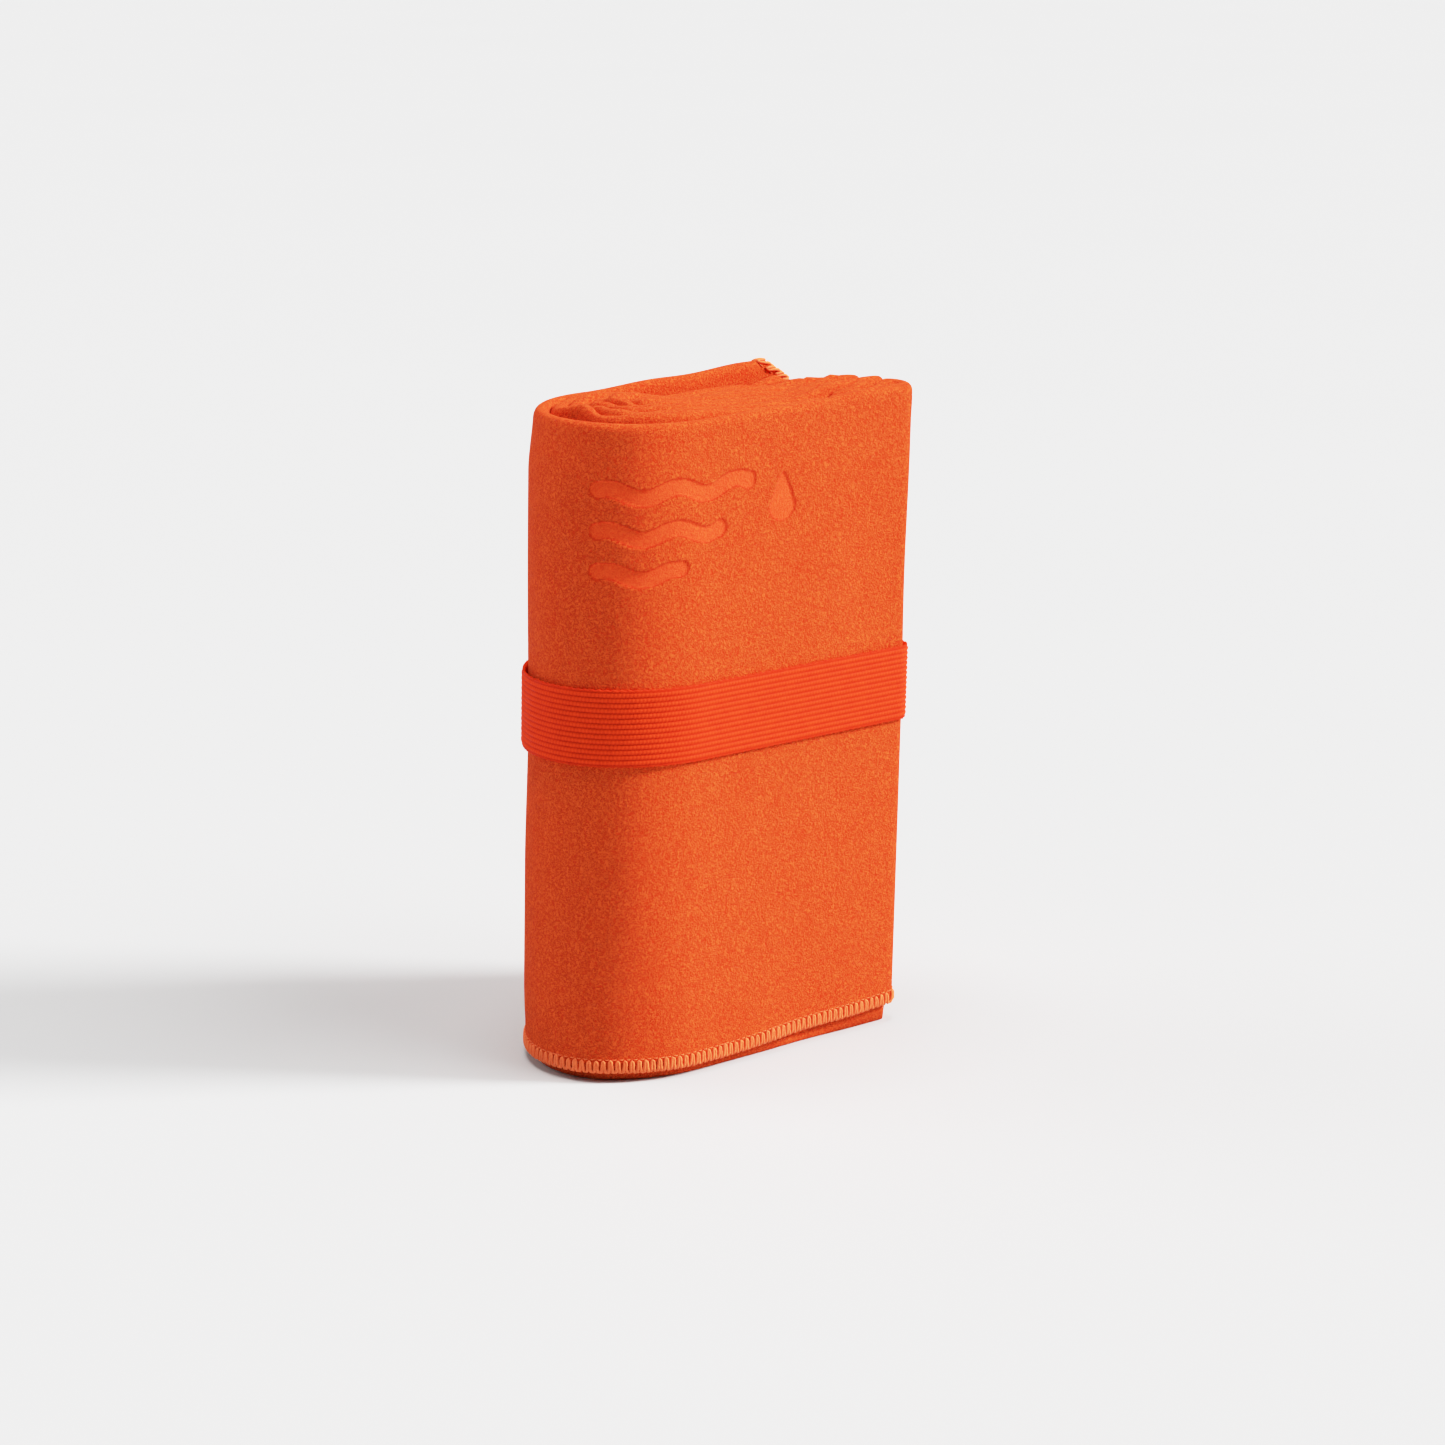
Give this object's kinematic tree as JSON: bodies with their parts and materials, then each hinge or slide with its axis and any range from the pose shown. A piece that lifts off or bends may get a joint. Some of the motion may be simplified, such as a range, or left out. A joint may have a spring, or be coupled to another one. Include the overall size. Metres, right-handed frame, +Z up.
{
  "type": "folded towel with elastic band",
  "caption": "Suede-finish travel towel folded into a flat bundle that stands on end, with overlocked edges, held by a sliding elastic band.",
  "frame": {"origin": "middle of the flat base that the folded towel stands on", "axes": "+Z up, +X from the round end towards the end with the tight turns, +Y through the thickness from the front face towards the back face"},
  "size_m": [0.1295, 0.0702, 0.216],
  "materials": {
    "cloth": "short brushed suede nap",
    "edge_thread": "textured polyester thread",
    "elastic": "ribbed woven elastic",
    "rubber": "matt",
    "lap_thread": "polyester thread"
  },
  "bodies": {
    "towel": {"towel_cloth": "cloth", "outer_long_edge_overlock": "edge_thread", "outer_long_edge_needle_seam": "edge_thread", "inner_long_edge_overlock": "edge_thread", "inner_long_edge_needle_seam": "edge_thread", "loose_end_overlock": "edge_thread", "loose_end_needle_seam": "edge_thread", "core_end_overlock": "edge_thread", "core_end_needle_seam": "edge_thread"},
    "band": {"band_webbing": "elastic", "band_rubber_strands": "rubber", "band_lap_stitching": "lap_thread"}
  },
  "joints": [
    {"name": "band_slide", "type": "slide", "parent": "towel", "child": "band", "axis": [0.0262, 0, 0.9997], "range_m": [-0.094, 0.114]}
  ]
}
